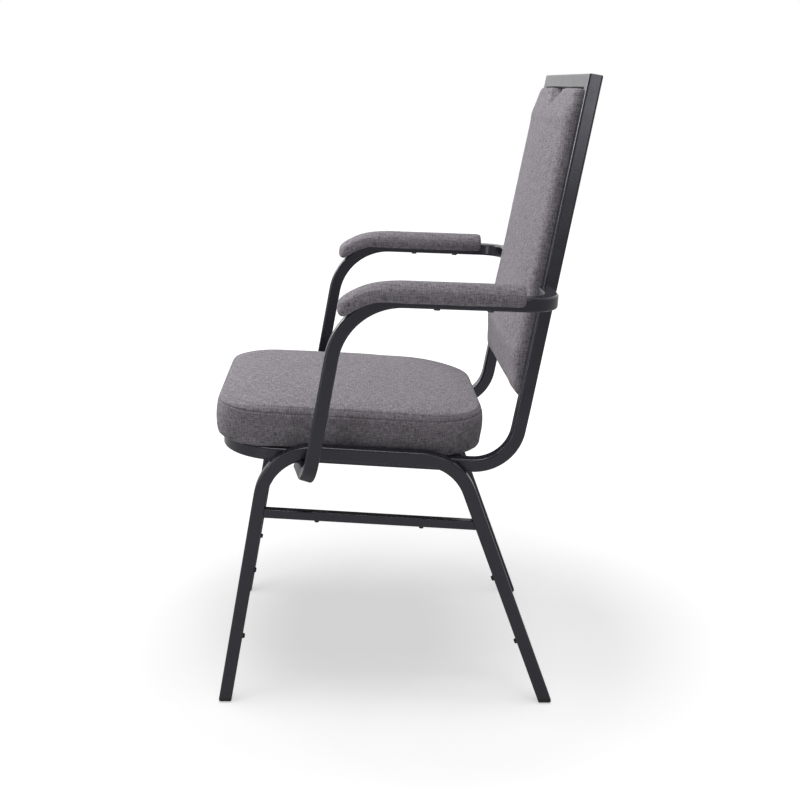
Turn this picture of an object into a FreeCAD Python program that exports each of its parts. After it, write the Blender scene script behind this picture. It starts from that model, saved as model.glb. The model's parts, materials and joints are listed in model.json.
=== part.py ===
import FreeCAD, Part
import math
import os
from FreeCAD import Placement, Rotation, Vector

# Stacking conference chair with arms: a square-tube steel frame with upholstered seat, back and arm pads.
# X runs across the chair, Y from front to back and Z up, in millimetres and degrees.
# The chair is laid out with Y = 0 midway between the feet, and at the end it is moved so that
# the origin lies on the floor under the middle of its outer box.

# Square tube of the frame
tube = 20.0
tube_wall = 1.5
tube_corner = 3.0

# Leg frames: one bent tube on each side
leg_spacing = 390.0
foot_span = 507.0
front_rake = 10.2
rear_rake = 20.4
leg_top_height = 410.0
leg_bend_radius = 80.0
seat_tilt = 3.4

# Stretchers between the legs of each frame
stretcher_size = 14.0
stretcher_corner = 2.0
stretcher_drop = 101.0

# Foot glides and stacking buttons
glide_height = 9.0
glide_edge = 6.5
glide_shank = 22.0
leg_button_low = 117.0
leg_button_high = 231.0
stretcher_button_pitch = 158.0
button_radius = 4.5
button_top_radius = 3.2
button_height = 3.5
button_stem_radius = 2.0
button_stem_length = 4.0

# Seat ring, uprights and top rail
overall_height = 953.0
back_lean = 9.5
back_corner_reach = 185.0
back_bend_radius = 65.0
upright_knee = 100.0
upright_knee_radius = 600.0
upright_lean_in = 18.0
rail_drop = 12.0
hoop_radius = 75.0
hoop_joint_reach = 140.0

# Cross bars under the seat, between the seat rails
cross_bar_width = 30.0
cross_bar_height = 12.0
cross_bar_corner = 2.0
front_bar_reach = 92.0
rear_bar_reach = 98.0

# Seat cushion and its board, on the seat rails, between the leg frames and overhanging the front hoop
seat_side_gap = 2.0
seat_overhang = 10.0
seat_front_reach = 262.0
seat_rear_reach = 150.0
seat_front_radius = 75.0
seat_rear_radius = 100.0
seat_side_height = 62.0
seat_crown = 6.0
seat_draw_in = 4.0
seat_seam_height = 51.0
seat_seam_inset = 2.0
seat_shoulder_inset = 10.0
seat_edge_radius = 3.0
seat_board_thickness = 12.0
seat_board_inset = 6.0

# Seat bolts
bolt_spread = 220.0
bolt_radius = 3.0
bolt_head_radius = 5.5
bolt_head_height = 4.0
washer_radius = 8.0
washer_thickness = 1.5
tee_nut_radius = 9.0
tee_nut_flange = 1.5
tee_nut_barrel_radius = 4.2

# Back pad, board and rear panel
back_pad_low = 103.0
back_pad_edge = 13.0
back_pad_crown = 20.5
back_pad_least_rise = 0.5
back_pad_edge_radius = 15.0
back_pad_edge_share = 0.8
back_pad_low_roll = 78.0
back_pad_top_roll = 52.0
back_pad_low_thickness = 3.0
back_pad_top_thickness = 10.0
back_pad_gap = 2.0
back_board_set = 11.0
back_board_thickness = 8.0
back_board_inset = 4.0
rear_panel_thickness = 4.0
rear_panel_edge = 1.5
pinch_radius = 120.0
pinch_height = 124.0
pinch_depth = 16.0

# Tabs and screws of the back
tab_length = 30.0
tab_height = 26.0
tab_thickness = 2.0
tab_margin = 70.0
tab_screw_radius = 2.0
tab_screw_length = 7.0
tab_screw_head_radius = 4.0
tab_screw_head_height = 2.0

# Arms
arm_spacing = 516.0
arm_rear_height = 649.5
arm_front_height = 659.5
arm_front_reach = 68.0
arm_rake = 10.3
arm_rear_radius = 42.0
arm_weld_lead = 5.0
arm_front_radius = 98.0
arm_low_radius = 30.0
arm_low_drop = 22.5
arm_low_toe = 10.0

# Arm pads and their bases
arm_pad_rear_reach = 180.0
arm_pad_width = 46.0
arm_pad_rise = 15.5
arm_pad_skirt = 9.0
arm_pad_foot_share = 0.86
arm_pad_brow_share = 0.84
arm_pad_brow_lift = 0.45
arm_pad_tip_turn = 48.5
arm_pad_tip_round = 16.0
arm_pad_tip_share = 0.5
arm_pad_rear_round = 9.0
arm_pad_rear_share = 0.78
arm_base_width = 30.0
arm_base_thickness = 6.0
arm_base_tip_turn = 30.0
arm_screw_radius = 2.2
arm_screw_head_radius = 4.5
arm_screw_head_height = 2.5
arm_screw_margin = 45.0
arm_screw_grip = 4.5

# Clearances
plug_clearance = 0.2
hole_clearance = 0.25
foam_clearance = 0.6
notch_clearance = 0.3

# A length well past every piece, for cutting blocks
far = 4000.0

# Sections in each rounded end of the pads
roll_steps = 4

# A length too short to build
SMALL = 1e-6

ACROSS = Vector(1, 0, 0)
tilt = math.radians(seat_tilt)
lean = math.radians(back_lean)
SEAT_ALONG = Vector(0, math.cos(tilt), -math.sin(tilt))
SEAT_UP = Vector(0, math.sin(tilt), math.cos(tilt))
BACK_UP = Vector(0, math.sin(lean), math.cos(lean))
BACK_REAR = Vector(0, math.cos(lean), -math.sin(lean))
SIDES = {"left": 1, "right": -1}
tube_half = tube / 2
bore = tube - 2 * tube_wall
tube_room = tube + 2 * foam_clearance


# Helpers for sections, sweeps and placing

def unit(vector):
    """The vector's direction."""
    return vector / vector.Length


def meet(point, direction, other, other_direction):
    """Where two lines of the side view cross."""
    across = direction.y * other_direction.z - direction.z * other_direction.y
    gap = other - point
    share = (gap.y * other_direction.z - gap.z * other_direction.y) / across
    return point + direction * share


def at_side(point, x):
    """The side-view point at a distance across the chair."""
    return Vector(x, point.y, point.z)


def rounded_rectangle(centre, across, upward, width, height, corner):
    """Closed wire of a rectangle with round corners, or square ones where corner is 0."""
    half_width = width / 2
    half_height = height / 2
    inner_width = half_width - corner
    inner_height = half_height - corner
    bulge = corner * (1 - math.sqrt(0.5))

    def spot(a, b):
        return centre + across * a + upward * b

    edges = []
    last = None
    first = None
    for sx, sy in ((1, 1), (-1, 1), (-1, -1), (1, -1)):
        on_side = spot(sx * half_width, sy * inner_height)
        on_top = spot(sx * inner_width, sy * half_height)
        start, end = (on_side, on_top) if sx * sy > 0 else (on_top, on_side)
        if last is not None:
            edges.append(Part.LineSegment(last, start).toShape())
        else:
            first = start
        if corner > 0:
            middle = spot(sx * (half_width - bulge), sy * (half_height - bulge))
            edges.append(Part.Arc(start, middle, end).toShape())
        last = end
    edges.append(Part.LineSegment(last, first).toShape())
    return Part.Wire(edges)


def joined(pieces):
    """One solid from pieces that meet face to face, each turned right side out first."""
    for piece in pieces:
        if piece.Volume < 0:
            piece.reverse()
    if len(pieces) == 1:
        return pieces[0]
    return pieces[0].fuse(pieces[1:]).removeSplitter()


def sweep(outline, points, radii):
    """Carry a flat outline along straight runs that are joined by round bends."""
    face = Part.Face(outline)
    place = points[0]
    pieces = []
    for index in range(1, len(points)):
        heading = unit(points[index] - points[index - 1])
        run = (points[index] - place).Length
        turning = index < len(points) - 1
        if turning:
            leaving = unit(points[index + 1] - points[index])
            turn = heading.getAngle(leaving)
            radius = radii[index - 1]
            run -= radius * math.tan(turn / 2)
        if run > SMALL:
            pieces.append(face.extrude(heading * run))
            face = face.translated(heading * run)
            place = place + heading * run
        if turning:
            axis = unit(heading.cross(leaving))
            inward = axis.cross(heading)
            hub = place + inward * radius
            degrees = math.degrees(turn)
            pieces.append(face.revolve(hub, axis, degrees))
            face = face.rotated(hub, axis, degrees)
            place = hub - inward * (radius * math.cos(turn)) + heading * (radius * math.sin(turn))
    return joined(pieces)


def tube_sections(start, heading, width, height, corner, wall):
    """Outer and inner outlines of a tube at its start."""
    across = BACK_REAR if abs(heading.x) > SMALL else ACROSS
    upward = unit(heading.cross(across))
    outer = rounded_rectangle(start, across, upward, width, height, corner)
    inner = rounded_rectangle(start, across, upward, width - 2 * wall, height - 2 * wall, 0)
    return outer, inner


def hollow_run(outlines, points, radii):
    """A tube along a path: the hollow tube and its filled outer form."""
    outer, inner = [sweep(outline, points, radii) for outline in outlines]
    return outer.cut(inner), outer


def bent_tube(points, radii):
    """The frame's square tube along a path."""
    heading = unit(points[1] - points[0])
    outlines = tube_sections(points[0], heading, tube, tube, tube_corner, tube_wall)
    return hollow_run(outlines, points, radii)


def half_space(point, normal):
    """A large block that starts at a point and fills what lies along the normal."""
    block = Part.makeBox(far, far, far, Vector(-far / 2, -far / 2, 0))
    block.Placement = Placement(point, Rotation(Vector(0, 0, 1), normal))
    return block


def rod(start, direction, radius, length):
    """A round bar from a point."""
    return Part.makeCylinder(radius, length, start, direction)


def hexagon_head(start, direction, radius, height):
    """A hexagon head from a point, its corners at the radius."""
    corners = []
    for step in range(7):
        angle = math.radians(60 * step)
        corners.append(Vector(radius * math.cos(angle), radius * math.sin(angle), 0))
    head = Part.Face(Part.makePolygon(corners)).extrude(Vector(0, 0, height))
    head.Placement = Placement(start, Rotation(Vector(0, 0, 1), direction))
    return head


def mirrored(shape):
    """The same piece on the other side of the chair."""
    return shape.mirror(Vector(0, 0, 0), ACROSS)


# Lines of the side view that everything hangs on

leg_top = Vector(0, 0, leg_top_height)
front_foot = Vector(0, -foot_span / 2, 0)
rear_foot = Vector(0, foot_span / 2, 0)
front_up = Vector(0, math.sin(math.radians(front_rake)), math.cos(math.radians(front_rake)))
rear_up = Vector(0, -math.sin(math.radians(rear_rake)), math.cos(math.radians(rear_rake)))
front_shoulder = meet(front_foot, front_up, leg_top, SEAT_ALONG)
rear_shoulder = meet(rear_foot, rear_up, leg_top, SEAT_ALONG)

leg_x = leg_spacing / 2
rail_x = leg_x - tube
seat_width = 2 * (leg_x - tube_half - seat_side_gap)
hoop_reach = seat_front_reach - seat_overhang - tube_half
rail_line = leg_top - SEAT_UP * rail_drop
seat_plane = rail_line + SEAT_UP * tube_half
stretcher_line = leg_top - SEAT_UP * stretcher_drop


def on_rail(reach):
    """The seat rail's centre line at a distance behind the middle of the feet."""
    return rail_line + SEAT_ALONG * (reach / SEAT_ALONG.y)


back_corner = on_rail(back_corner_reach)
rail_rise = (tube_half - tube_corner) * (math.cos(lean) + math.sin(lean)) + tube_corner
back_length = (overall_height - rail_rise - back_corner.z) / math.cos(lean) + tube_half
back_top = back_corner + BACK_UP * back_length
lean_in_slope = upright_lean_in / (back_length - upright_knee)
upright_half = tube_half * math.hypot(1, lean_in_slope)

SEAT_PLACE = Placement(seat_plane, Rotation(ACROSS, -seat_tilt))
BACK_PLACE = Placement(back_corner, Rotation(ACROSS, -back_lean))

nodes = {}
leg_forms = {}
upright_forms = {}


# Leg frames, stretchers, glides and buttons

def button(spot, outward):
    """A stacking button: a low tapered head on a stem that goes through the tube's wall."""
    head = Part.makeCone(button_radius, button_top_radius, button_height, spot, outward)
    return head.fuse(rod(spot, -outward, button_stem_radius, button_stem_length))


def button_hole(spot, outward):
    """The hole that a button's stem goes through."""
    return rod(spot, -outward, button_stem_radius + hole_clearance, 2 * tube_wall)


def domed_foot(foot, up):
    """A bar along the leg's lower end, with its edges on the floor rounded and a flat left between them."""
    toe = Vector(0, tube_half / up.z, 0)
    slant = up * (2 * glide_height / up.z)
    corners = [foot - toe, foot + toe, foot + toe + slant, foot - toe + slant, foot - toe]
    side = Part.Face(Part.makePolygon(corners)).translated(-ACROSS * tube_half)
    bar = side.extrude(ACROSS * tube)
    floor_edges = [edge for edge in bar.Edges if edge.BoundBox.ZMax < glide_edge]
    return bar.makeFillet(glide_edge, floor_edges)


def glide(foot, up):
    """A foot glide: a cap of the tube's own section with a domed foot, and a shank in the bore."""
    start = foot - up * tube
    outer, _ = tube_sections(start, up, tube, tube, tube_corner, tube_wall)
    slab = Part.makeBox(far, far, glide_height, Vector(-far / 2, -far / 2, 0))
    cap = sweep(outer, [start, foot + up * tube], []).common(slab)
    cap = cap.common(domed_foot(foot, up))
    shank_foot = foot + up * (glide_height / 2 / up.z)
    shank_top = foot + up * (glide_height / up.z + glide_shank)
    size = bore - 2 * plug_clearance
    outline = rounded_rectangle(shank_foot, ACROSS, unit(up.cross(ACROSS)), size, size, 0)
    shank = sweep(outline, [shank_foot, shank_top], [])
    return cap.fuse(shank).removeSplitter()


def build_leg_side(side, sign):
    """One leg frame with its stretcher, glides and buttons."""
    x = sign * leg_x
    path = [
        at_side(front_foot - front_up * tube, x),
        at_side(front_shoulder, x),
        at_side(rear_shoulder, x),
        at_side(rear_foot - rear_up * tube, x),
    ]
    hollow, solid = bent_tube(path, [leg_bend_radius, leg_bend_radius])
    below = half_space(Vector(0, 0, glide_height), Vector(0, 0, -1))
    frame = hollow.cut(below)
    leg_forms[side] = solid.cut(below)

    legs = {
        "front": (front_foot, front_up, Vector(0, front_up.z, -front_up.y)),
        "rear": (rear_foot, rear_up, Vector(0, -rear_up.z, rear_up.y)),
    }
    heights = {"lower": leg_button_low, "upper": leg_button_high}
    for end, (foot, up, inward) in legs.items():
        nodes[f"{end}_{side}_glide"] = glide(at_side(foot, x), up)
        for level, height in heights.items():
            spot = at_side(foot, x) + up * height + inward * tube_half
            nodes[f"{end}_{side}_{level}_button"] = button(spot, inward)
            frame = frame.cut(button_hole(spot, inward))
    nodes[side + "_leg_frame"] = frame

    start = at_side(meet(front_foot, front_up, stretcher_line, SEAT_ALONG), x)
    end = at_side(meet(rear_foot, rear_up, stretcher_line, SEAT_ALONG), x)
    outlines = tube_sections(start, SEAT_ALONG, stretcher_size, stretcher_size, stretcher_corner, tube_wall)
    stretcher, _ = hollow_run(outlines, [start, end], [])
    stretcher = stretcher.cut(leg_forms[side])
    middle = (start + end) / 2
    for name, shift in (("front", -0.5), ("rear", 0.5)):
        spot = middle + SEAT_ALONG * (shift * stretcher_button_pitch) - SEAT_UP * (stretcher_size / 2)
        nodes[f"{side}_stretcher_{name}_button"] = button(spot, -SEAT_UP)
        stretcher = stretcher.cut(button_hole(spot, -SEAT_UP))
    nodes[side + "_stretcher"] = stretcher


# Seat ring, uprights, top rail and cross bars

def upright_x(rise):
    """How far an upright's centre line lies from the chair's middle, over its knee."""
    return rail_x - lean_in_slope * (rise - upright_knee)


def mitre_plane(sign):
    """Point and inward normal of the mitre between an upright and the top rail."""
    point = at_side(back_top - BACK_UP * tube_half, sign * upright_x(back_length - tube_half))
    heading = unit(BACK_UP - ACROSS * (sign * lean_in_slope))
    return point, unit(heading - ACROSS * sign)


def hoop_path():
    """Centre line of the front hoop, from one seat rail round to the other."""
    joint = on_rail(-hoop_joint_reach)
    front = on_rail(-hoop_reach)
    return [at_side(joint, rail_x), at_side(front, rail_x), at_side(front, -rail_x), at_side(joint, -rail_x)]


def build_ring():
    """The uprights with their seat rails, the front hoop and the top rail."""
    joint = on_rail(-hoop_joint_reach)
    for side, sign in SIDES.items():
        x = sign * rail_x
        knee = back_corner + BACK_UP * upright_knee
        path = [at_side(joint, x), at_side(back_corner, x), at_side(knee, x)]
        path.append(at_side(back_top, sign * upright_x(back_length)))
        hollow, upright_forms[side] = bent_tube(path, [back_bend_radius, upright_knee_radius])
        point, normal = mitre_plane(sign)
        nodes[side + "_side_tube"] = hollow.cut(half_space(point, normal))

    nodes["front_hoop"], _ = bent_tube(hoop_path(), [hoop_radius, hoop_radius])

    centre = back_top - BACK_UP * tube_half
    ends = [at_side(centre, -leg_x), at_side(centre, leg_x)]
    rail, _ = bent_tube(ends, [])
    for sign in SIDES.values():
        point, normal = mitre_plane(sign)
        rail = rail.cut(half_space(point, -normal))
    nodes["top_rail"] = rail


def bar_centre(reach):
    """Centre line of a cross bar whose top is flush with the seat rails."""
    return seat_plane + SEAT_ALONG * (reach / SEAT_ALONG.y) - SEAT_UP * (cross_bar_height / 2)


def bolt_spots(reach):
    """The two bolt places on a cross bar, in the seat's plane."""
    middle = seat_plane + SEAT_ALONG * (reach / SEAT_ALONG.y)
    return [at_side(middle, sign * bolt_spread / 2) for sign in SIDES.values()]


def build_cross_bars():
    """Two flat tubes between the seat rails, drilled for the seat bolts."""
    reach_across = rail_x - tube_half
    for name, reach in (("front", -front_bar_reach), ("rear", rear_bar_reach)):
        centre = bar_centre(reach)
        start = at_side(centre, -reach_across)
        end = at_side(centre, reach_across)
        outer = rounded_rectangle(
            start, SEAT_ALONG, SEAT_UP, cross_bar_width, cross_bar_height, cross_bar_corner)
        inner = rounded_rectangle(
            start, SEAT_ALONG, SEAT_UP, cross_bar_width - 2 * tube_wall, cross_bar_height - 2 * tube_wall, 0)
        bar, _ = hollow_run((outer, inner), [start, end], [])
        for spot in bolt_spots(reach):
            bar = bar.cut(rod(spot, -SEAT_UP, bolt_radius + hole_clearance, cross_bar_height))
        nodes[name + "_cross_bar"] = bar


# Seat cushion, board and bolts, laid out flat in the seat's plane

def seat_outline(inset, z):
    """Plan of the seat at a height: straight front, rear and sides, and round corners."""
    half = seat_width / 2 - inset
    front = inset - seat_front_reach
    rear = seat_rear_reach - inset
    front_round = seat_front_radius - inset
    rear_round = seat_rear_radius - inset
    edges = []
    ends = []
    plan = ((1, front, front_round, -1), (1, rear, rear_round, 1),
            (-1, rear, rear_round, 1), (-1, front, front_round, -1))
    for index, (side, y, radius, way) in enumerate(plan):
        on_end = Vector(side * (half - radius), y, z)
        on_side = Vector(side * half, y - way * radius, z)
        slack = radius * (1 - math.sqrt(0.5))
        middle_point = Vector(side * (half - slack), y - way * slack, z)
        start, end = (on_end, on_side) if index % 2 == 0 else (on_side, on_end)
        ends.append((start, middle_point, end))
    for index, (start, middle_point, end) in enumerate(ends):
        edges.append(Part.Arc(start, middle_point, end).toShape())
        edges.append(Part.LineSegment(end, ends[(index + 1) % 4][0]).toShape())
    return Part.Wire(edges)


def build_seat():
    """The crowned cushion over its board: drawn-in sides under a seam, and a steep shoulder over it."""
    full_height = seat_side_height + seat_crown
    side_sections = (
        (seat_draw_in, 0),
        (0, seat_seam_height / 2),
        (seat_seam_inset, seat_seam_height),
    )
    shoulder_sections = (
        (seat_seam_inset, seat_seam_height),
        (seat_shoulder_inset, full_height),
    )
    sides = Part.makeLoft([seat_outline(inset, z) for inset, z in side_sections], True)
    shoulder = Part.makeLoft([seat_outline(inset, z) for inset, z in shoulder_sections], True, True)
    half_depth = (seat_front_reach + seat_rear_reach) / 2
    middle = (seat_rear_reach - seat_front_reach) / 2
    crown_radius = (half_depth ** 2 + seat_crown ** 2) / (2 * seat_crown)
    crown = Part.makeSphere(crown_radius, Vector(0, middle, full_height - crown_radius))
    cushion = joined([sides, shoulder]).common(crown)
    top = [face for face in cushion.Faces if isinstance(face.Surface, Part.Sphere)][0]
    cushion = cushion.makeFillet(seat_edge_radius, top.Edges)

    board = Part.Face(seat_outline(seat_board_inset, 0)).extrude(Vector(0, 0, seat_board_thickness))
    for shape in (cushion, board):
        shape.Placement = SEAT_PLACE
    cushion = cushion.cut(board)

    bolts = []
    washers = []
    tee_nuts = []
    thread = bolt_radius + hole_clearance
    for reach in (-front_bar_reach, rear_bar_reach):
        for spot in bolt_spots(reach):
            under_bar = spot - SEAT_UP * cross_bar_height
            under_washer = under_bar - SEAT_UP * washer_thickness
            top = spot + SEAT_UP * seat_board_thickness
            length = washer_thickness + cross_bar_height + seat_board_thickness - tee_nut_flange
            shank = rod(under_washer, SEAT_UP, bolt_radius, length)
            head = hexagon_head(under_washer, -SEAT_UP, bolt_head_radius, bolt_head_height)
            bolts.append(head.fuse(shank))
            washer = rod(under_washer, SEAT_UP, washer_radius, washer_thickness)
            washers.append(washer.cut(rod(under_washer, SEAT_UP, thread, washer_thickness)))
            flange = rod(top, -SEAT_UP, tee_nut_radius, tee_nut_flange)
            barrel = rod(top, -SEAT_UP, tee_nut_barrel_radius, seat_board_thickness - tee_nut_flange)
            nut = flange.fuse(barrel).removeSplitter()
            tee_nuts.append(nut.cut(rod(top, -SEAT_UP, thread, seat_board_thickness)))
            board = board.cut(nut)
            board = board.cut(rod(spot, SEAT_UP, thread, seat_board_thickness))
    nodes["seat_cushion"] = cushion
    nodes["seat_board"] = board
    nodes["seat_bolts"] = Part.makeCompound(bolts)
    nodes["seat_washers"] = Part.makeCompound(washers)
    nodes["seat_tee_nuts"] = Part.makeCompound(tee_nuts)


# Back, laid out upright on the upright's own axis: y 0 is the tube's centre, z runs up the tube

back_pad_top = back_length - tube - back_pad_gap
board_front = back_board_set - tube_half
board_rear = board_front + back_board_thickness


def inner_face(z):
    """How far an upright's inner face lies from the chair's middle."""
    return upright_x(z) - upright_half


def back_section(z, edge, crown):
    """Section of the back pad: flat behind, straight sides, round edges and a crowned front."""
    half = inner_face(z) - back_pad_gap
    radius = min(back_pad_edge_radius, edge * back_pad_edge_share)
    slack = radius * (1 - math.sqrt(0.5))
    low_right = Vector(half, board_front, z)
    low_left = Vector(-half, board_front, z)
    side_right = Vector(half, board_front - edge + radius, z)
    side_left = Vector(-half, board_front - edge + radius, z)
    turn_right = Vector(half - slack, board_front - edge + slack, z)
    turn_left = Vector(-half + slack, board_front - edge + slack, z)
    face_right = Vector(half - radius, board_front - edge, z)
    face_left = Vector(-half + radius, board_front - edge, z)
    return Part.Wire([
        Part.LineSegment(low_left, low_right).toShape(),
        Part.LineSegment(low_right, side_right).toShape(),
        Part.Arc(side_right, turn_right, face_right).toShape(),
        Part.Arc(face_right, Vector(0, board_front - crown, z), face_left).toShape(),
        Part.Arc(face_left, turn_left, side_left).toShape(),
        Part.LineSegment(side_left, low_left).toShape(),
    ])


def flat_plate(corners, thickness):
    """A plate between corners given across and up the back, from its front face towards the rear."""
    spots = [Vector(x, 0, z) for x, z in corners]
    return Part.Face(Part.makePolygon(spots + spots[:1])).extrude(Vector(0, thickness, 0))


def back_plate(inset, front, thickness):
    """A flat plate with the back pad's outline, inset all round."""
    low = back_pad_low + inset
    high = back_pad_top - inset
    low_half = inner_face(low) - back_pad_gap - inset
    high_half = inner_face(high) - back_pad_gap - inset
    corners = ((-low_half, low), (low_half, low), (high_half, high), (-high_half, high))
    return flat_plate(corners, thickness).translated(Vector(0, front, 0))


def build_back():
    """Back pad, board and rear panel between the uprights, on four welded tabs."""
    full_edge = back_board_set + back_pad_edge
    full_rise = back_pad_crown - back_pad_edge

    def rolled_end(end, roll, thin):
        """Sections from the pad's full thickness down to its thin end, round a quarter oval."""
        sections = []
        for step in range(roll_steps + 1):
            angle = math.radians(90 * step / roll_steps)
            swell = math.cos(angle)
            edge = thin + (full_edge - thin) * swell
            rise = max(full_rise * swell, back_pad_least_rise)
            z = end - roll * (1 - math.sin(angle))
            sections.append(back_section(z, edge, edge + rise))
        return Part.makeLoft(sections, True)

    low_full = back_pad_low + back_pad_low_roll
    top_full = back_pad_top - back_pad_top_roll
    full_sections = [back_section(z, full_edge, full_edge + full_rise) for z in (low_full, top_full)]
    body = Part.makeLoft(full_sections, True, True)
    low_end = rolled_end(back_pad_low, -back_pad_low_roll, back_pad_low_thickness)
    top_end = rolled_end(back_pad_top, back_pad_top_roll, back_pad_top_thickness)
    pad = joined([body, low_end, top_end])
    pinch_axis = board_front - back_pad_top_thickness - pinch_radius + pinch_depth / 2
    pinch = Part.makeCone(0, pinch_radius, pinch_height, Vector(0, pinch_axis, back_pad_top - pinch_height))
    pad = pad.cut(pinch)

    board = back_plate(back_board_inset, board_front, back_board_thickness)
    panel = back_plate(0, board_rear, rear_panel_thickness)
    rear_face = board_rear + rear_panel_thickness
    rear_edges = [edge for edge in panel.Edges if edge.BoundBox.YMin > rear_face - notch_clearance]
    panel = panel.makeFillet(rear_panel_edge, rear_edges)

    screws = []
    levels = {"lower": back_pad_low + tab_margin, "upper": back_pad_top - tab_margin}
    for side, sign in SIDES.items():
        for level, z in levels.items():
            low = z - tab_height / 2
            high = z + tab_height / 2
            inner = inner_face(z) - tab_length
            corners = ((inner, low), (inner_face(low), low), (inner_face(high), high), (inner, high))
            tab = flat_plate(corners, tab_thickness).translated(Vector(0, board_rear - tab_thickness, 0))
            notch = Part.makeBox(
                tab_length + notch_clearance, tab_thickness, tab_height + 2 * notch_clearance,
                Vector(inner - notch_clearance, board_rear - tab_thickness, low - notch_clearance))
            head_spot = Vector(inner + tab_length / 3, board_rear, z)
            forward = Vector(0, -1, 0)
            hole = rod(head_spot, forward, tab_screw_radius + hole_clearance, tab_thickness)
            shank = rod(head_spot, forward, tab_screw_radius, tab_screw_length)
            head = rod(head_spot, -forward, tab_screw_head_radius, tab_screw_head_height)
            pocket = rod(head_spot, -forward, tab_screw_head_radius + hole_clearance,
                         tab_screw_head_height + hole_clearance)
            screw = head.fuse(shank)
            tab = tab.cut(hole)
            if sign < 0:
                tab, notch, screw, pocket = [mirrored(shape) for shape in (tab, notch, screw, pocket)]
            board = board.cut(notch).cut(screw)
            panel = panel.cut(pocket)
            screws.append(screw)
            tab.Placement = BACK_PLACE.multiply(tab.Placement)
            nodes[f"back_tab_{level}_{side}"] = tab
    back_screws = Part.makeCompound(screws)
    for name, shape in (("back_pad", pad), ("back_board", board), ("back_rear_panel", panel),
                        ("back_screws", back_screws)):
        shape.Placement = BACK_PLACE.multiply(shape.Placement)
        nodes[name] = shape


# Arms, built on the left side and mirrored

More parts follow.
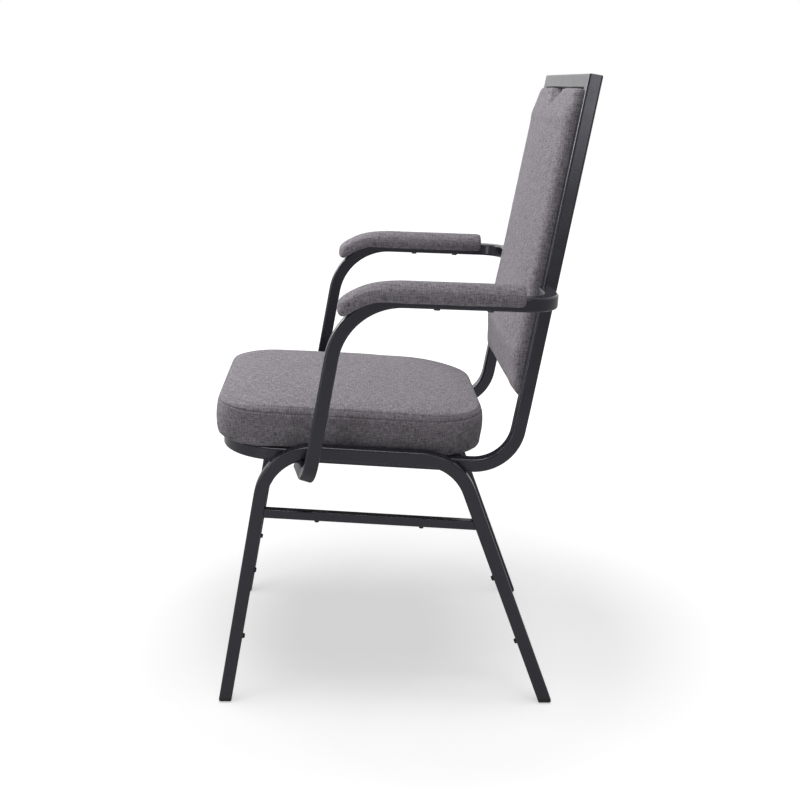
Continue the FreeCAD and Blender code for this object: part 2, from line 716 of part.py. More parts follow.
def build_arms():
    """Arm tubes, the pads' bases, the pads and their screws."""
    arm_x = arm_spacing / 2
    weld_y = back_corner.y + (arm_rear_height - back_corner.z) * math.tan(lean) - arm_weld_lead
    arm_rise = (arm_rear_height - back_corner.z) / math.cos(lean)
    rear_end = Vector(upright_x(arm_rise), weld_y, arm_rear_height)
    rear_corner = Vector(arm_x, weld_y, arm_rear_height)
    front_corner = Vector(arm_x, -arm_front_reach, arm_front_height)
    rake = Vector(0, -math.sin(math.radians(arm_rake)), -math.cos(math.radians(arm_rake)))
    low_line = leg_top - SEAT_UP * arm_low_drop
    low_corner = at_side(meet(front_corner, rake, low_line, SEAT_ALONG), arm_x)
    end_x = leg_x - tube_half
    toe = (arm_x - end_x) * math.tan(math.radians(arm_low_toe))
    low_end = Vector(end_x, low_corner.y - toe, low_corner.z)
    past_end = low_end + unit(low_end - low_corner) * tube
    path = [rear_end, rear_corner, front_corner, low_corner, past_end]
    radii = [arm_rear_radius, arm_front_radius, arm_low_radius]

    heading = unit(rear_corner - rear_end)
    run = unit(front_corner - rear_corner)
    upward = unit(run.cross(ACROSS))
    lateral = unit(upward.cross(heading))
    outer = rounded_rectangle(rear_end, lateral, upward, tube, tube, tube_corner)
    inner = rounded_rectangle(rear_end, lateral, upward, bore, bore, 0)
    arm, _ = hollow_run((outer, inner), path, radii)
    beyond_rail = half_space(Vector(end_x, 0, 0), -ACROSS)
    low_half = half_space(Vector(0, 0, (arm_rear_height + low_corner.z) / 2), Vector(0, 0, -1))
    trim = beyond_rail.common(low_half).fuse([leg_forms["left"], upright_forms["left"]])
    arm = arm.cut(trim)

    turn = run.getAngle(rake)
    setback = arm_front_radius * math.tan(turn / 2)
    bend_start = front_corner - run * setback
    pad_rear = rear_corner + run * ((rear_corner.y - arm_pad_rear_reach) / -run.y)
    straight = (bend_start - pad_rear).Length
    hub = bend_start - upward * arm_front_radius

    def station(distance):
        """Centre, and the up direction, at a distance along the arm from the pad's rear end."""
        if distance <= straight:
            return pad_rear + run * distance, upward
        angle = (distance - straight) / arm_front_radius
        up = upward * math.cos(angle) + run * math.sin(angle)
        return hub + up * arm_front_radius, up

    base_turn = math.radians(arm_base_tip_turn)
    base_start = pad_rear + run * arm_base_thickness
    base_corner = bend_start + run * (arm_front_radius * math.tan(base_turn / 2))
    base_tip, _ = station(straight + arm_front_radius * base_turn)
    base_centre = base_start + upward * (tube_half + arm_base_thickness / 2)
    base_outline = rounded_rectangle(
        base_centre, ACROSS, upward, arm_base_width, arm_base_thickness, arm_base_thickness / 4)
    base = sweep(base_outline, [base_start, base_corner, base_tip], [arm_front_radius])

    def pad_section(distance, share, skirt):
        """Section of the arm pad, drawn in about its middle by a share: full sides and a round top."""
        centre, up = station(distance)
        low = tube_half - skirt
        top = tube_half + arm_pad_rise
        middle = (low + top) / 2
        half = arm_pad_width / 2 * share
        half_height = (top - low) / 2 * share

        def spot(a, h):
            return centre + ACROSS * (a * half) + up * (middle + h * half_height)

        foot = arm_pad_foot_share
        brow = arm_pad_brow_share
        lift = arm_pad_brow_lift
        return Part.Wire([
            Part.LineSegment(spot(-foot, -1), spot(foot, -1)).toShape(),
            Part.Arc(spot(foot, -1), spot(1, -lift / 2), spot(brow, lift)).toShape(),
            Part.Arc(spot(brow, lift), spot(0, 1), spot(-brow, lift)).toShape(),
            Part.Arc(spot(-brow, lift), spot(-1, -lift / 2), spot(-foot, -1)).toShape(),
        ])

    def pad_end(tip, length, end_share, skirt):
        """A rounded end of the pad, from its full section to the smaller one at the tip."""
        sections = []
        for step in range(roll_steps + 1):
            angle = math.radians(90 * step / roll_steps)
            share = end_share + (1 - end_share) * math.cos(angle)
            sections.append(pad_section(tip - length * (1 - math.sin(angle)), share, skirt))
        return Part.makeLoft(sections, True)

    pad_length = straight + arm_front_radius * math.radians(arm_pad_tip_turn)
    bend_end = pad_length - arm_pad_tip_round
    bend_sections = []
    for step in range(roll_steps + 1):
        share = step / roll_steps
        skirt = arm_pad_skirt * (1 - share)
        bend_sections.append(pad_section(straight + (bend_end - straight) * share, 1, skirt))
    body = Part.Face(pad_section(arm_pad_rear_round, 1, arm_pad_skirt))
    pad = joined([
        body.extrude(run * (straight - arm_pad_rear_round)),
        Part.makeLoft(bend_sections, True),
        pad_end(pad_length, arm_pad_tip_round, arm_pad_tip_share, 0),
        pad_end(0, -arm_pad_rear_round, arm_pad_rear_share, arm_pad_skirt),
    ])
    groove_outline = rounded_rectangle(rear_end, lateral, upward, tube_room, tube_room, tube_corner)
    pad = pad.cut(sweep(groove_outline, path, radii)).cut(base)

    screws = []
    for distance in (arm_screw_margin, straight - arm_screw_margin):
        centre, up = station(distance)
        under = centre - up * tube_half
        shank = rod(under, up, arm_screw_radius, tube + arm_screw_grip)
        head = rod(under, -up, arm_screw_head_radius, arm_screw_head_height)
        screw = head.fuse(shank)
        arm = arm.cut(rod(under, up, arm_screw_radius + hole_clearance, tube))
        base = base.cut(shank)
        screws.append(screw)
        screws.append(mirrored(screw))
    for name, shape in (("arm_tube", arm), ("arm_base", base), ("arm_pad", pad)):
        nodes["left_" + name] = shape
        nodes["right_" + name] = mirrored(shape)
    nodes["arm_screws"] = Part.makeCompound(screws)


def export():
    """Stand the chair on the origin and write one file for each node."""
    box = Part.makeCompound(list(nodes.values())).optimalBoundingBox(False)
    shift = Vector(0, -(box.YMin + box.YMax) / 2, 0)
    os.makedirs("parts", exist_ok=True)
    for name, shape in nodes.items():
        shape.translate(shift)
        shape.exportStep(f"parts/{name}.step")
    print("moved by", shift, "outer box", box)


for side_name, side_sign in SIDES.items():
    build_leg_side(side_name, side_sign)
build_ring()
build_cross_bars()
build_seat()
build_back()
build_arms()
export()
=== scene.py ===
import bpy
import json
import math
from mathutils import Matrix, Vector
from mathutils.bvhtree import BVHTree
from mathutils.kdtree import KDTree


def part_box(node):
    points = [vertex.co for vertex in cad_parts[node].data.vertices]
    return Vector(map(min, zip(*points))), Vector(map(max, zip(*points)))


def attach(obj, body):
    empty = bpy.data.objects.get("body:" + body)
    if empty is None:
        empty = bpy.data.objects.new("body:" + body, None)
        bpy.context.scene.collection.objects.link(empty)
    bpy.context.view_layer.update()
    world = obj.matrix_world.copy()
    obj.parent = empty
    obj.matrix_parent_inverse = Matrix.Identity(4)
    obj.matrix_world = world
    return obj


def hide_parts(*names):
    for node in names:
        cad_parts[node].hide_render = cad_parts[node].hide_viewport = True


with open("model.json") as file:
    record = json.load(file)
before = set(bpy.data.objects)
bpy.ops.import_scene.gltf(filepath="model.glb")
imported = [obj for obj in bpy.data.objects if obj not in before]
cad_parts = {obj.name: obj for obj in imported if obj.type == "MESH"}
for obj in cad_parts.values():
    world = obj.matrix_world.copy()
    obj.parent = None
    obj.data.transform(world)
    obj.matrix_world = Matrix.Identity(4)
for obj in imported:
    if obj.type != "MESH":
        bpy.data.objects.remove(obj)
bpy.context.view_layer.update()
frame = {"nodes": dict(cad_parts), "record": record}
scene = bpy.context.scene
nodes = frame["nodes"]
SIDES = ("left", "right")

# Lines of the frame, in metres and radians, as the solids have them
SEAT_TILT = math.radians(3.4)
BACK_LEAN = math.radians(9.5)
SEAT_UP = Vector((0, math.sin(SEAT_TILT), math.cos(SEAT_TILT)))
BACK_UP = Vector((0, math.sin(BACK_LEAN), math.cos(BACK_LEAN)))
BACK_REAR = Vector((0, math.cos(BACK_LEAN), -math.sin(BACK_LEAN)))
SEAT_BOARD = 0.012

# Loose triangles of a copied solid are merged when closer than this
MERGE = 0.00002

# Foam and cloth, on every padded piece that swells. A pair of numbers here and below is where
# something begins and where it is full: a place in metres, or a share of a direction.
SIM_STEPS = 20
CLOTH_QUALITY = 5
DRAW_IN = 0.001
EVENING_ROUNDS = 8
HELD_FADE = 2.5
SWELLS_FACING = (-0.8, -0.3)

# Sewing: each seam's height over the seat's plane and its depth
SEAMS = ((0.053, 0.0009), (0.0605, 0.0005))
SEAM_WIDTH = 0.0013
SEAM_REACH = 3
SEAM_ROUNDS = 2
SEWING_STEP = 0.001

# Seat cover
SEAT_VOXEL = 0.006
SEAT_HOLD = 0.0015
SEAT_PRESSURE = 5.0
SEAT_CAP = 0.0035
FILLER_GROWTH = (1.02, 1.02, 1.04)
SHOULDER_SWELL = 0.0040
SHOULDER_HEIGHTS = (0.034, 0.056)
SHOULDER_PLACES = (-0.10, 0.0)
FRONT_SWELL = 0.0030
FRONT_FACING = (0.3, 0.8)
FRONT_HEIGHTS = (0.000, 0.008)
TOP_SWELL = 0.0020
TOP_FACING = (0.5, 0.9)
TOP_PLACES = (-0.14, -0.02)
UNDER_FACING = -0.7
UNDER_HEIGHT = 0.003
UNDER_GAP = 0.0015
UNDER_LIFT = 0.004

# Back cover, and the panel behind it
BACK_VOXEL = 0.0045
BACK_HOLD = 0.006
BACK_PRESSURE = 5.0
BACK_CAP = 0.003
CORNER_SWELL = 0.0025
SIDE_SWELL = 0.0006
UPPER_SWELL = 0.0019
SIDE_FACING = (0.6, 0.95)
EDGE_FORWARD = 0.0027
EDGE_PLACES = (0.075, 0.130)
EDGE_FACING = (-0.1, 0.4)
PANEL_VOXEL = 0.0025
PANEL_CROWN = 0.0015
PANEL_FACING = 0.5

# The pinch in the back's upper edge
PINCH_HALF = 0.054
PINCH_RUN = 0.029
PINCH_DEPTH = 0.020
PINCH_ROUNDING = 0.6
DENT_HALF = 0.045
DENT_RUN = 0.060
DENT_DEPTH = 0.004
PINCH_SKIN = 0.0035
PINCH_MARGIN = 0.01
PINCH_ROUNDS = 2

# Arm covers
ARM_VOXEL = 0.0035
ARM_HOLD = 0.003
ARM_PRESSURE = 200.0
ARM_CAP = 0.002
ARM_CROWN = 0.0010
ARM_RISE = 0.0075
ARM_RISE_PLACES = (0.0, 0.085)
ARM_TOP_FACING = (0.1, 0.6)
ARM_SKIRT = 0.0030
ARM_SKIRT_PLACES = (-0.045, -0.010)
ARM_SKIRT_FACING = (0.2, 0.8)
ARM_TIP = 0.0025
ARM_TIP_PLACES = (0.060, 0.085)

# Threads of the cloth
THREAD = 0.0011
STREAK = 0.007
# How far the cloth's colour is darkened along the sewn grooves: painted shade
SEAM_SHADE = 0.25

# Stage
FLOOR_SIZE = 14.0
FLOOR_PAINT = 0.95
FLOOR_GLOW = 0.575
FLOOR_MIRRORED = 0.3
GLOW_NEAR = 0.40
GLOW_FAR = 1.30
AMBIENT = 0.10
CAMERA_SIDE = 0.42
CAMERA_SIDE_FROM = 0.7

# Each lamp's name, place, aim, width in metres and power in watts
LAMPS = (
    ("front_lamp", Vector((-0.85, -1.45, 1.50)), Vector((0.0, 0.0, 0.55)), 1.0, 30.0),
    ("top_lamp", Vector((0.50, -0.20, 3.6)), Vector((0.0, 0.0, 0.0)), 1.7, 48.0),
    ("side_lamp", Vector((2.4, -1.5, 0.35)), Vector((0.0, 0.0, 0.50)), 0.8, 6.0),
    ("rear_lamp", Vector((2.9, 0.9, 1.25)), Vector((0.0, 0.15, 0.75)), 0.7, 5.0),
)

# Camera of the main view
CAMERA_PLACE = Vector((1.7209, -0.0781, 0.9402))
CAMERA_DROP = math.radians(16.2288)
CAMERA_SWING = math.radians(-0.4162)
CAMERA_LENS = 48.98
CAMERA_SENSOR = 36.0
CAMERA_SHIFT = 0.0791


# Selecting and copying

def only(piece):
    """Leave one piece selected and active."""
    bpy.ops.object.select_all(action="DESELECT")
    piece.select_set(True)
    bpy.context.view_layer.objects.active = piece


def edit(piece, chosen="SELECT"):
    """Go into edit mode on one piece, with all or nothing chosen."""
    only(piece)
    bpy.ops.object.mode_set(mode="EDIT")
    bpy.ops.mesh.select_mode(type="FACE")
    bpy.ops.mesh.select_all(action=chosen)


def done():
    """Go back to object mode."""
    bpy.ops.object.mode_set(mode="OBJECT")


def copy_of(node, name):
    """A new piece with the form of a solid, its loose triangles merged."""
    piece = bpy.data.objects.new(name, nodes[node].data.copy())
    scene.collection.objects.link(piece)
    piece.data.materials.clear()
    edit(piece)
    bpy.ops.mesh.remove_doubles(threshold=MERGE)
    bpy.ops.mesh.customdata_custom_splitnormals_clear()
    done()
    return piece


def apply(piece, modifier):
    """Apply one modifier of a piece."""
    only(piece)
    bpy.ops.object.modifier_apply(modifier=modifier.name)


def ease(value, low, high):
    """Rise softly from nought at the low value to one at the high value."""
    share = min(max((value - low) / (high - low), 0.0), 1.0)
    return share * share * (3 - 2 * share)


def tree_of(names):
    """A search tree over the faces of several solids."""
    points = []
    faces = []
    for name in names:
        mesh = nodes[name].data
        first = len(points)
        points.extend(vertex.co.copy() for vertex in mesh.vertices)
        faces.extend([first + corner for corner in face.vertices] for face in mesh.polygons)
    return BVHTree.FromPolygons(points, faces)


# Shader nodes

def new_material(name):
    """A fresh material: its node tree and its shader."""
    material = bpy.data.materials.new(name)
    material.use_nodes = True
    tree = material.node_tree
    shader = tree.nodes["Principled BSDF"]
    return material, tree, shader


def feed(tree, socket, value):
    """Link an output to a socket, or set the socket to a number."""
    if isinstance(value, bpy.types.NodeSocket):
        tree.links.new(value, socket)
    else:
        socket.default_value = value


def maths(tree, operation, first, second=0.0):
    """One sum of two values."""
    node = tree.nodes.new("ShaderNodeMath")
    node.operation = operation
    feed(tree, node.inputs[0], first)
    feed(tree, node.inputs[1], second)
    return node.outputs[0]


def spread(tree, value, low, high, out_low, out_high):
    """Carry a value from one range to another."""
    node = tree.nodes.new("ShaderNodeMapRange")
    node.inputs["From Min"].default_value = low
    node.inputs["From Max"].default_value = high
    node.inputs["To Min"].default_value = out_low
    node.inputs["To Max"].default_value = out_high
    tree.links.new(value, node.inputs["Value"])
    return node.outputs["Result"]


def noise(tree, vector, scale, detail=2.0, roughness=0.5):
    """Soft noise over a vector."""
    node = tree.nodes.new("ShaderNodeTexNoise")
    node.inputs["Scale"].default_value = scale
    node.inputs["Detail"].default_value = detail
    node.inputs["Roughness"].default_value = roughness
    tree.links.new(vector, node.inputs["Vector"])
    return node.outputs["Fac"]


def ramp(tree, value, stops):
    """A colour ramp with a colour at each place."""
    node = tree.nodes.new("ShaderNodeValToRGB")
    elements = node.color_ramp.elements
    while len(elements) < len(stops):
        elements.new(0.5)
    for element, (place, colour) in zip(elements, stops):
        element.position = place
        element.color = (*colour, 1.0)
    tree.links.new(value, node.inputs["Fac"])
    return node.outputs["Color"]


def bump(tree, shader, height, strength, distance):
    """Raise a height as bump on a shader."""
    node = tree.nodes.new("ShaderNodeBump")
    node.inputs["Strength"].default_value = strength
    node.inputs["Distance"].default_value = distance
    tree.links.new(height, node.inputs["Height"])
    tree.links.new(node.outputs["Normal"], shader.inputs["Normal"])


def object_place(tree):
    """The piece's own coordinates, in metres."""
    return tree.nodes.new("ShaderNodeTexCoord").outputs["Object"]


def pair(tree, x, y):
    """A vector of two values."""
    node = tree.nodes.new("ShaderNodeCombineXYZ")
    feed(tree, node.inputs["X"], x)
    feed(tree, node.inputs["Y"], y)
    return node.outputs["Vector"]


# Finishes

def woven_cloth():
    """Grey melange cloth: a plain weave whose threads change tone in short streaks, darkened with painted
    shade along the sewn grooves.
    """
    material, tree, shader = new_material("woven_cloth")
    uv = tree.nodes.new("ShaderNodeTexCoord").outputs["UV"]
    split = tree.nodes.new("ShaderNodeSeparateXYZ")
    tree.links.new(uv, split.inputs["Vector"])
    across = maths(tree, "DIVIDE", split.outputs["X"], THREAD)
    along = maths(tree, "DIVIDE", split.outputs["Y"], THREAD)
    warp = maths(tree, "SINE", maths(tree, "MULTIPLY", across, math.pi))
    weft = maths(tree, "SINE", maths(tree, "MULTIPLY", along, math.pi))
    lattice = maths(tree, "MULTIPLY", warp, weft)
    warp_on_top = maths(tree, "GREATER_THAN", lattice, 0.0)

    streak = THREAD / STREAK
    warp_place = pair(tree, maths(tree, "FLOOR", across), maths(tree, "MULTIPLY", along, streak))
    weft_place = pair(tree, maths(tree, "MULTIPLY", across, streak), maths(tree, "FLOOR", along))
    warp_tone = noise(tree, warp_place, 0.73)
    weft_tone = noise(tree, weft_place, 0.73)
    mix = tree.nodes.new("ShaderNodeMix")
    tree.links.new(warp_on_top, mix.inputs["Factor"])
    tree.links.new(weft_tone, mix.inputs["A"])
    tree.links.new(warp_tone, mix.inputs["B"])
    tone = mix.outputs["Result"]
    drift = spread(tree, noise(tree, object_place(tree), 14.0, 3.0), 0.3, 0.7, -0.012, 0.012)
    yarn = ramp(tree, maths(tree, "ADD", tone, drift), (
        (0.35, (0.140, 0.126, 0.143)),
        (0.50, (0.275, 0.254, 0.280)),
        (0.65, (0.440, 0.412, 0.446)),
    ))
    # Painted shade: near black mixed into the cloth's colour along the sewn grooves, where shade falls in
    # the pressed line
    seam = tree.nodes.new("ShaderNodeAttribute")
    seam.attribute_name = "seam"
    sewn = tree.nodes.new("ShaderNodeMix")
    sewn.data_type = "RGBA"
    sewn.inputs["B"].default_value = (0.05, 0.045, 0.05, 1.0)
    tree.links.new(maths(tree, "MULTIPLY", seam.outputs["Fac"], SEAM_SHADE), sewn.inputs["Factor"])
    tree.links.new(yarn, sewn.inputs["A"])
    tree.links.new(sewn.outputs["Result"], shader.inputs["Base Color"])
    shader.inputs["Roughness"].default_value = 0.92
    shader.inputs["Specular IOR Level"].default_value = 0.12
    shader.inputs["Sheen Weight"].default_value = 0.12
    shader.inputs["Sheen Roughness"].default_value = 0.5
    bump(tree, shader, maths(tree, "ABSOLUTE", lattice), 0.45, 0.0003)
    return material


def powder_coat():
    """Charcoal powder coat with a fine orange peel."""
    material, tree, shader = new_material("powder_coat")
    place = object_place(tree)
    patches = noise(tree, place, 35.0, 4.0)
    grain = noise(tree, place, 900.0, 2.0, 0.6)
    colour = ramp(tree, patches, (
        (0.30, (0.012, 0.0120, 0.0180)),
        (0.70, (0.016, 0.0161, 0.0235)),
    ))
    tree.links.new(colour, shader.inputs["Base Color"])
    tree.links.new(spread(tree, patches, 0.3, 0.7, 0.20, 0.25), shader.inputs["Roughness"])
    shader.inputs["Specular IOR Level"].default_value = 0.65
    shader.inputs["Specular Tint"].default_value = (0.90, 0.90, 1.0, 1.0)
    bump(tree, shader, grain, 0.10, 0.0004)
    return material


def moulded_plastic(name, tone):
    """Matt moulded plastic with a fine spark-eroded grain."""
    material, tree, shader = new_material(name)
    place = object_place(tree)
    patches = noise(tree, place, 120.0, 3.0)
    colour = ramp(tree, patches, (
        (0.3, (tone * 0.85, tone * 0.85, tone * 0.9)),
        (0.7, (tone * 1.15, tone * 1.15, tone * 1.2)),
    ))
    tree.links.new(colour, shader.inputs["Base Color"])
    tree.links.new(spread(tree, patches, 0.3, 0.7, 0.50, 0.62), shader.inputs["Roughness"])
    shader.inputs["Specular IOR Level"].default_value = 0.3
    bump(tree, shader, noise(tree, place, 2500.0, 1.0), 0.15, 0.0002)
    return material


def plywood():
    """Bare plywood with a dark veneer, its grain along the chair's width."""
    material, tree, shader = new_material("plywood")
    stretch = tree.nodes.new("ShaderNodeMapping")
    stretch.inputs["Scale"].default_value = (3.0, 60.0, 60.0)
    tree.links.new(object_place(tree), stretch.inputs["Vector"])
    grain = noise(tree, stretch.outputs["Vector"], 2.0, 6.0, 0.65)
    colour = ramp(tree, grain, (
        (0.30, (0.060, 0.042, 0.027)),
        (0.55, (0.095, 0.067, 0.044)),
        (0.80, (0.130, 0.094, 0.063)),
    ))
    tree.links.new(colour, shader.inputs["Base Color"])
    shader.inputs["Roughness"].default_value = 0.75
    bump(tree, shader, grain, 0.25, 0.0005)
    return material


def zinc_plate():
    """Steel with black zinc plating, faintly blotched."""
    material, tree, shader = new_material("zinc_plate")
    place = object_place(tree)
    blotches = noise(tree, place, 260.0, 3.0)
    colour = ramp(tree, blotches, (
        (0.3, (0.050, 0.050, 0.054)),
        (0.7, (0.080, 0.080, 0.086)),
    ))
    tree.links.new(colour, shader.inputs["Base Color"])
    tree.links.new(spread(tree, blotches, 0.3, 0.7, 0.28, 0.42), shader.inputs["Roughness"])
    shader.inputs["Metallic"].default_value = 1.0
    bump(tree, shader, noise(tree, place, 1500.0, 1.0), 0.08, 0.0002)
    return material


CLOTH = woven_cloth()
FINISHES = {
    "frame_steel": powder_coat(),
    "glide_plastic": moulded_plastic("glide_plastic", 0.030),
    "button_plastic": moulded_plastic("button_plastic", 0.014),
    "base_plastic": moulded_plastic("base_plastic", 0.014),
    "plywood": plywood(),
    "zinc_steel": zinc_plate(),
    "fabric": CLOTH,
}


def finish_solids():
    """Give every solid the finish of its own slot."""
    for part in frame["record"]["subparts"]:
        mesh = nodes[part["node"]].data
        mesh.materials.clear()
        mesh.materials.append(FINISHES[part["material_slot"]])


# Padded pieces

def remesh(piece, voxel):
    """Give a piece one even closed skin."""
    only(piece)
    piece.data.remesh_voxel_size = voxel
    bpy.ops.object.voxel_remesh()


def normals_of(piece):
    """The outward directions at a piece's points, as they are now."""
    return [point.normal.copy() for point in piece.data.vertices]


def evened(mesh, values):
    """Values over a mesh's points, each averaged with its neighbours' several times."""
    for _ in range(EVENING_ROUNDS):
        sums = list(values)
        counts = [1] * len(values)
        for link in mesh.edges:
            first, second = link.vertices
            sums[first] += values[second]
            sums[second] += values[first]
            counts[first] += 1
            counts[second] += 1
        values = [total / count for total, count in zip(sums, counts)]
    return values


def round_off(piece):
    """One subdivision, applied."""
    modifier = piece.modifiers.new("round_off", "SUBSURF")
    modifier.levels = 1
    modifier.render_levels = 1
    apply(piece, modifier)


def swell(piece, carriers, hold, pressure, cap, fill):
    """Foam under cloth: draw the free skin in, blow it up as cloth and keep the evened swelling.
    The skin is held within a short way of what carries it. The swelling is capped and never draws
    the skin in, and the fill is what the foam adds by the place and the direction of a point."""
    carrier = tree_of(carriers)
    mesh = piece.data
    normals = normals_of(piece)
    skin = [point.co.copy() for point in mesh.vertices]
    free = [ease(carrier.find_nearest(place)[3], hold, HELD_FADE * hold) for place in skin]
    rises = [0.0] * len(skin)
    held = piece.vertex_groups.new(name="held")
    for point in mesh.vertices:
        held.add([point.index], 1 - free[point.index], "REPLACE")
        point.co -= normals[point.index] * (DRAW_IN * free[point.index])
    cloth = piece.modifiers.new("swell", "CLOTH")
    cloth.settings.quality = CLOTH_QUALITY
    cloth.settings.use_pressure = True
    cloth.settings.uniform_pressure_force = pressure
    cloth.settings.vertex_group_mass = held.name
    cloth.settings.effector_weights.gravity = 0
    for step in range(1, SIM_STEPS + 1):
        scene.frame_set(step)
    apply(piece, cloth)
    scene.frame_set(1)
    piece.vertex_groups.clear()
    mesh = piece.data
    for point, place, normal in zip(mesh.vertices, skin, normals):
        rise = min(max((point.co - place).dot(normal), 0.0), cap)
        rises[point.index] = rise * ease(normal.z, *SWELLS_FACING)
    rises = evened(mesh, rises)
    for point, place, normal in zip(mesh.vertices, skin, normals):
        share = free[point.index]
        point.co = place + normal * rises[point.index] + share * fill(place, normal)
    round_off(piece)


def refine(piece, chosen):
    """Divide the faces whose middle is chosen."""
    edit(piece, "DESELECT")
    done()
    for face in piece.data.polygons:
        face.select = chosen(face.center)
    only(piece)
    bpy.ops.object.mode_set(mode="EDIT")
    bpy.ops.mesh.subdivide(number_cuts=1)
    done()


def sew(piece, line, depth):
    """Press a sewn line into the skin and mark it for the painted shade that darkens the cloth's colour
    along the groove.
    """
    mesh = piece.data
    skin = BVHTree.FromPolygons([point.co for point in mesh.vertices],
                                [list(face.vertices) for face in mesh.polygons])
    stitches = KDTree(len(line))
    for index, place in enumerate(line):
        stitches.insert(skin.find_nearest(place)[0], index)
    stitches.balance()
    for _ in range(SEAM_ROUNDS):
        refine(piece, lambda place: stitches.find(place)[2] < SEAM_REACH * SEAM_WIDTH)
    mesh = piece.data
    # The marks carry the painted shade of the groove to the cloth's colour
    seam = mesh.attributes.get("seam") or mesh.attributes.new("seam", "FLOAT", "POINT")
    shade_marks = [mark.value for mark in seam.data]
    for point, normal in zip(mesh.vertices, normals_of(piece)):
        gap = stitches.find(point.co)[2] / SEAM_WIDTH
        if gap < SEAM_REACH:
            mark = math.exp(-gap * gap)
            point.co -= normal * (depth * mark)
            shade_marks[point.index] = max(shade_marks[point.index], mark)
    mesh.attributes["seam"].data.foreach_set("value", shade_marks)


def cover(piece, node):
    """Finish a padded piece: cloth laid on, smooth shading, and its place in the model."""
    edit(piece)
    bpy.ops.uv.cube_project(cube_size=1.0)
    done()
    bpy.ops.object.shade_smooth()
    piece.data.materials.clear()
    piece.data.materials.append(CLOTH)
    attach(piece, "root")
    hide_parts(node)


# Seat, in its own plane: the board's underside lies on it

board_low, board_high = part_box("seat_board")
seat_rear_edge = Vector((0, board_high.y - math.sin(SEAT_TILT) * SEAT_BOARD, board_low.z))


def over_seat(place):
    """Height over the seat's plane."""
    return (place - seat_rear_edge).dot(SEAT_UP)


def level_line(node, height):
    """Points along a solid's outline at a height over the seat's plane."""
    mesh = nodes[node].data
    line = []
    for face in mesh.polygons:
        corners = [mesh.vertices[corner].co for corner in face.vertices]
        cuts = []
        for first, second in zip(corners, corners[1:] + corners[:1]):
            under = over_seat(first) - height
            over = over_seat(second) - height
            if (under < 0) != (over < 0):
                cuts.append(first.lerp(second, under / (under - over)))
        if len(cuts) == 2:
            steps = max(1, round((cuts[1] - cuts[0]).length / SEWING_STEP))
            line.extend(cuts[0].lerp(cuts[1], step / steps) for step in range(steps + 1))
    return line


def seat_fill(place, normal):
    """The seat's foam stands out at its shoulders and front, and its top is crowned to the front."""
    facing = ease(normal.dot(SEAT_UP), *TOP_FACING)
    shoulder = ease(over_seat(place), *SHOULDER_HEIGHTS) * ease(-place.y, *SHOULDER_PLACES)
    front = ease(-normal.y, *FRONT_FACING) * ease(over_seat(place), *FRONT_HEIGHTS)
    side = max(SHOULDER_SWELL * shoulder, FRONT_SWELL * front)
    return normal * (side * (1 - facing) + TOP_SWELL * facing * ease(-place.y, *TOP_PLACES))


def bare_underside(piece):
    """Sink the skin under the board into it, so that the board's bare underside shows."""
    board = tree_of(("seat_board",))
    for point, normal in zip(piece.data.vertices, normals_of(piece)):
        under = normal.dot(SEAT_UP) < UNDER_FACING and over_seat(point.co) < UNDER_HEIGHT
        if under and board.find_nearest(point.co)[3] < UNDER_GAP:
            point.co += SEAT_UP * UNDER_LIFT


def build_seat():
    """The seat's padded cover over its board, with two sewn lines round its upper edge."""
    piece = copy_of("seat_cushion", "seat_cover")
    filler = copy_of("seat_board", "seat_filler")
    edit(filler)
    bpy.ops.transform.resize(value=FILLER_GROWTH, center_override=(board_low + board_high) / 2)
    done()
    only(piece)
    filler.select_set(True)
    bpy.ops.object.join()
    remesh(piece, SEAT_VOXEL)
    swell(piece, ("seat_board",), SEAT_HOLD, SEAT_PRESSURE, SEAT_CAP, seat_fill)
    bare_underside(piece)
    for height, depth in SEAMS:
        sew(piece, level_line("seat_cushion", height), depth)
    cover(piece, "seat_cushion")


# Back and arms

def pinch(piece):
    """Draw the pad's upper edge in at its middle: a sharp fold under the rail over a soft dent."""
    _, pad_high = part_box("back_pad")
    rest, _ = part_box("back_board")
    board_face = Vector((0, rest.y, rest.z))
    top = pad_high.dot(BACK_UP)

    def near(place):
        down = top - place.dot(BACK_UP)
        return abs(place.x) < PINCH_HALF + PINCH_MARGIN and down < PINCH_RUN + PINCH_MARGIN

    def depth(place):
        down = top - place.dot(BACK_UP)
        half = PINCH_HALF * (1 - down / PINCH_RUN)
        fold = max(0.0, 1 - abs(place.x) / half) if half > 0 else 0.0
        dent = max(0.0, 1 - abs(place.x) / DENT_HALF) * max(0.0, 1 - down / DENT_RUN)
        return PINCH_DEPTH * fold ** PINCH_ROUNDING + DENT_DEPTH * dent

    for _ in range(PINCH_ROUNDS):
        refine(piece, near)
    for point in piece.data.vertices:
        thick = -(point.co - board_face).dot(BACK_REAR)
        point.co += BACK_REAR * min(depth(point.co), max(0.0, thick - PINCH_SKIN))


def back_fill(place, normal):
    """The back's foam is fullest where it faces half up and half forward, and its side edges stand out."""
    front = max(0.0, -normal.dot(BACK_REAR))
    up = max(0.0, normal.dot(BACK_UP))
    corner = 4 * (up * front) ** 2
    side = ease(abs(normal.x), *SIDE_FACING)
    edge = ease(abs(place.x), *EDGE_PLACES) * ease(-normal.dot(BACK_REAR), *EDGE_FACING)
    swelling = CORNER_SWELL * corner + SIDE_SWELL * side + UPPER_SWELL * ease(up, *SIDE_FACING)
    return normal * swelling - BACK_REAR * (EDGE_FORWARD * edge)


def build_back():
    """The back's padded cover between the uprights."""
    piece = copy_of("back_pad", "back_cover")
    remesh(piece, BACK_VOXEL)
    swell(piece, ("back_board",), BACK_HOLD, BACK_PRESSURE, BACK_CAP, back_fill)
    pinch(piece)
    cover(piece, "back_pad")


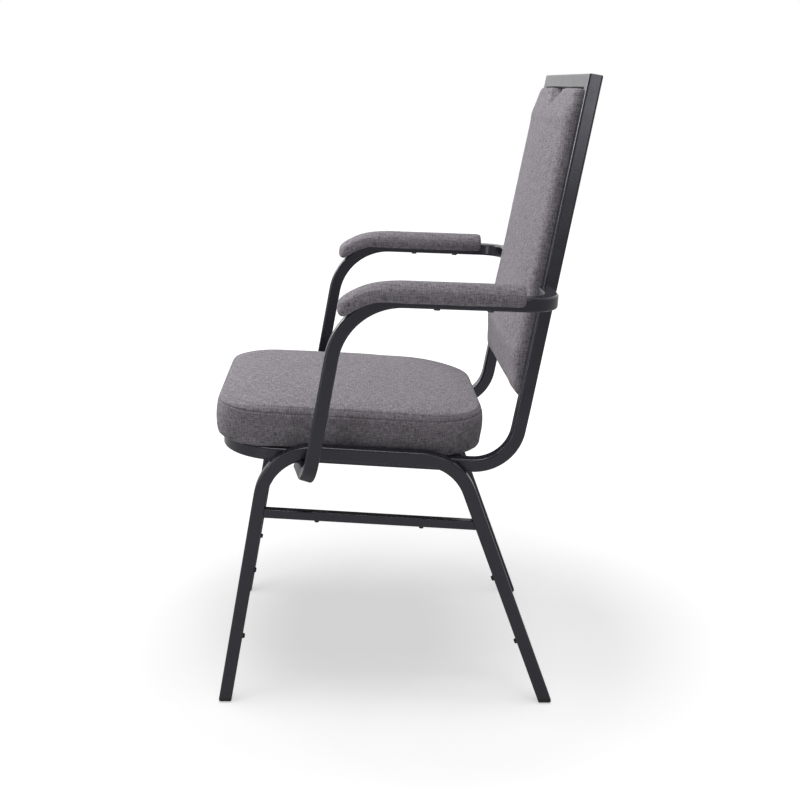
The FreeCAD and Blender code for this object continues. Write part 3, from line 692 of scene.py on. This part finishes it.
def build_rear_panel():
    """The covered panel behind the back, crowned a little without a simulation."""
    panel = copy_of("back_rear_panel", "back_rear_cover")
    remesh(panel, PANEL_VOXEL)
    low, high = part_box("back_rear_panel")
    middle = (low + high) / 2
    half_height = (high - middle).dot(BACK_UP)
    for point, normal in zip(panel.data.vertices, normals_of(panel)):
        if normal.dot(BACK_REAR) > PANEL_FACING:
            across = (point.co.x - middle.x) / high.x
            along = (point.co - middle).dot(BACK_UP) / half_height
            crown = max(0.0, 1 - across * across) * max(0.0, 1 - along * along)
            point.co += BACK_REAR * (PANEL_CROWN * crown)
    cover(panel, "back_rear_panel")


def arm_fill(place, normal):
    """The foam of an arm pad stands higher towards its front end, and its skirts hang lower."""
    crown = ARM_CROWN + ARM_RISE * ease(-place.y, *ARM_RISE_PLACES)
    skirt = ARM_SKIRT * ease(place.y, *ARM_SKIRT_PLACES)
    lift = crown * ease(normal.z, *ARM_TOP_FACING) - skirt * ease(-normal.z, *ARM_SKIRT_FACING)
    return Vector((0, -ARM_TIP * ease(-place.y, *ARM_TIP_PLACES), lift))


def build_arm_pads():
    """The padded arm covers."""
    for side in SIDES:
        piece = copy_of(side + "_arm_pad", side + "_arm_cover")
        remesh(piece, ARM_VOXEL)
        carriers = (side + "_arm_tube", side + "_arm_base")
        swell(piece, carriers, ARM_HOLD, ARM_PRESSURE, ARM_CAP, arm_fill)
        cover(piece, side + "_arm_pad")


# Floor, light and camera

def by_ray(tree, seen, mirrored):
    """One level for camera rays, one for glossy and transmission rays, nought for the rest."""
    path = tree.nodes.new("ShaderNodeLightPath").outputs
    bounced = maths(tree, "MAXIMUM", path["Is Glossy Ray"], path["Is Transmission Ray"])
    straight = maths(tree, "MULTIPLY", path["Is Camera Ray"], seen)
    return maths(tree, "ADD", straight, maths(tree, "MULTIPLY", bounced, mirrored))


def build_floor():
    """A pale floor that reads white and keeps the chair's shadow."""
    bpy.ops.object.select_all(action="DESELECT")
    bpy.ops.mesh.primitive_plane_add(size=FLOOR_SIZE)
    floor = bpy.context.object
    floor.name = "floor"
    material = bpy.data.materials.new("floor")
    material.use_nodes = True
    tree = material.node_tree
    tree.nodes.clear()
    paint = tree.nodes.new("ShaderNodeBsdfDiffuse")
    paint.inputs["Color"].default_value = (FLOOR_PAINT, FLOOR_PAINT, FLOOR_PAINT, 1.0)
    reach = tree.nodes.new("ShaderNodeVectorMath")
    reach.operation = "LENGTH"
    tree.links.new(object_place(tree), reach.inputs[0])
    level = spread(tree, reach.outputs["Value"], GLOW_NEAR, GLOW_FAR, FLOOR_GLOW, 1.0)
    glow = tree.nodes.new("ShaderNodeEmission")
    shown = by_ray(tree, level, maths(tree, "MULTIPLY", level, FLOOR_MIRRORED))
    tree.links.new(shown, glow.inputs["Strength"])
    both = tree.nodes.new("ShaderNodeAddShader")
    tree.links.new(paint.outputs[0], both.inputs[0])
    tree.links.new(glow.outputs[0], both.inputs[1])
    output = tree.nodes.new("ShaderNodeOutputMaterial")
    tree.links.new(both.outputs[0], output.inputs["Surface"])
    floor.data.materials.append(material)
    return floor


def build_surround():
    """A white surround for what the camera sees and a soft ambient level. In reflections the
    surround is darker on the side where the camera stands."""
    world = bpy.data.worlds.new("studio")
    world.use_nodes = True
    tree = world.node_tree
    background = tree.nodes["Background"]
    background.inputs["Color"].default_value = (1.0, 1.0, 1.0, 1.0)
    split = tree.nodes.new("ShaderNodeSeparateXYZ")
    direction = tree.nodes.new("ShaderNodeTexCoord").outputs["Generated"]
    tree.links.new(direction, split.inputs["Vector"])
    mirrored = spread(tree, split.outputs["X"], 0.0, CAMERA_SIDE_FROM, 1.0, CAMERA_SIDE)
    level = maths(tree, "MAXIMUM", AMBIENT, by_ray(tree, 1.0, mirrored))
    tree.links.new(level, background.inputs["Strength"])
    scene.world = world


def build_lamps(floor):
    """Four soft lamps. Only the one overhead lights the floor, so the shadow lies under the chair."""
    left_out = bpy.data.collections.new("left_out")
    left_out.objects.link(floor)
    left_out.collection_objects[0].light_linking.link_state = "EXCLUDE"
    for name, place, aim, size, power in LAMPS:
        lamp = bpy.data.lights.new(name, "AREA")
        lamp.size = size
        lamp.energy = power
        holder = bpy.data.objects.new(name, lamp)
        holder.location = place
        holder.rotation_euler = (aim - place).to_track_quat("-Z", "Y").to_euler()
        holder.visible_camera = False
        if name != "top_lamp":
            holder.light_linking.receiver_collection = left_out
        scene.collection.objects.link(holder)


def build_camera():
    """The photograph's camera: level across, looking down on the chair's left side."""
    data = bpy.data.cameras.new("camera")
    data.lens = CAMERA_LENS
    data.sensor_width = CAMERA_SENSOR
    data.shift_x = CAMERA_SHIFT
    camera = bpy.data.objects.new("camera", data)
    camera.location = CAMERA_PLACE
    camera.rotation_euler = (math.pi / 2 - CAMERA_DROP, 0.0, math.pi / 2 - CAMERA_SWING)
    scene.collection.objects.link(camera)
    scene.camera = camera
    scene.view_settings.view_transform = "Standard"


finish_solids()
build_seat()
build_back()
build_rear_panel()
build_arm_pads()
build_surround()
build_lamps(build_floor())
build_camera()
